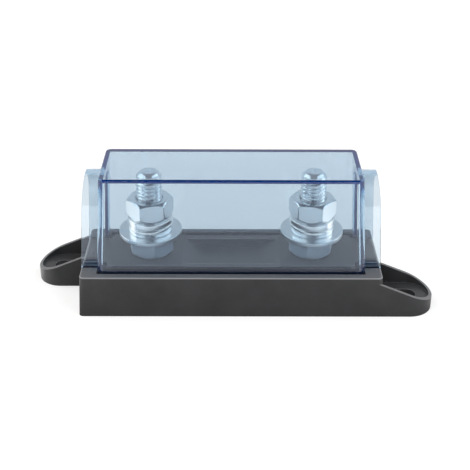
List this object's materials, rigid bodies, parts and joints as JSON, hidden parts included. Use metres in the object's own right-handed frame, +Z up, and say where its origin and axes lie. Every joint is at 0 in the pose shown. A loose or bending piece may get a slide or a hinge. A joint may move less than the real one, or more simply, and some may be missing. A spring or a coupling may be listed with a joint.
{
  "type": "fuse holder",
  "caption": "Bolt-down holder for a large stud-mounted fuse: moulded base with diagonal slotted ears, plated studs with nuts and washers, and a clear lift-off cover with cable hoods.",
  "frame": {"origin": "centre of the base's underside, midway between the two studs", "axes": "+X along the line through the two studs, with the front ear at the +X end; -Y is the front; +Z up along the studs"},
  "size_m": [0.1282, 0.033, 0.045],
  "materials": {
    "base_plastic": "fine matt moulded black",
    "cover_plastic": "clear, pale blue, polished",
    "zinc_plate": "bright zinc plate"
  },
  "bodies": {
    "base": {"base": "base_plastic", "left_stud": "zinc_plate", "left_base_nut": "zinc_plate", "left_flat_washer": "zinc_plate", "left_lower_lock_washer": "zinc_plate", "right_stud": "zinc_plate", "right_base_nut": "zinc_plate", "right_flat_washer": "zinc_plate", "right_lower_lock_washer": "zinc_plate"},
    "cover": {"cover": "cover_plastic"},
    "left_lock_washer": {"left_upper_lock_washer": "zinc_plate"},
    "left_nut": {"left_top_nut": "zinc_plate"},
    "right_lock_washer": {"right_upper_lock_washer": "zinc_plate"},
    "right_nut": {"right_top_nut": "zinc_plate"}
  },
  "joints": [
    {"name": "cover_lift", "type": "slide", "parent": "base", "child": "cover", "axis": [0, 0, 1], "range_m": [0, 0.06]},
    {"name": "left_nut_turn", "type": "hinge", "parent": "base", "child": "left_lock_washer", "pos_m": [-0.0255, 0, 0.0252], "axis": [0, 0, 1], "range_deg": [0, 2160]},
    {"name": "left_nut_rise", "type": "slide", "parent": "left_lock_washer", "child": "left_nut", "axis": [0, 0, 1], "range_m": [0, 0.0076]},
    {"name": "right_nut_turn", "type": "hinge", "parent": "base", "child": "right_lock_washer", "pos_m": [0.0255, 0, 0.0252], "axis": [0, 0, 1], "range_deg": [0, 2160]},
    {"name": "right_nut_rise", "type": "slide", "parent": "right_lock_washer", "child": "right_nut", "axis": [0, 0, 1], "range_m": [0, 0.0076]}
  ],
  "couplings": [
    {"joint": "left_nut_rise", "follows": "left_nut_turn", "m_per_rad": 0.00019894},
    {"joint": "right_nut_rise", "follows": "right_nut_turn", "m_per_rad": 0.00019894}
  ]
}
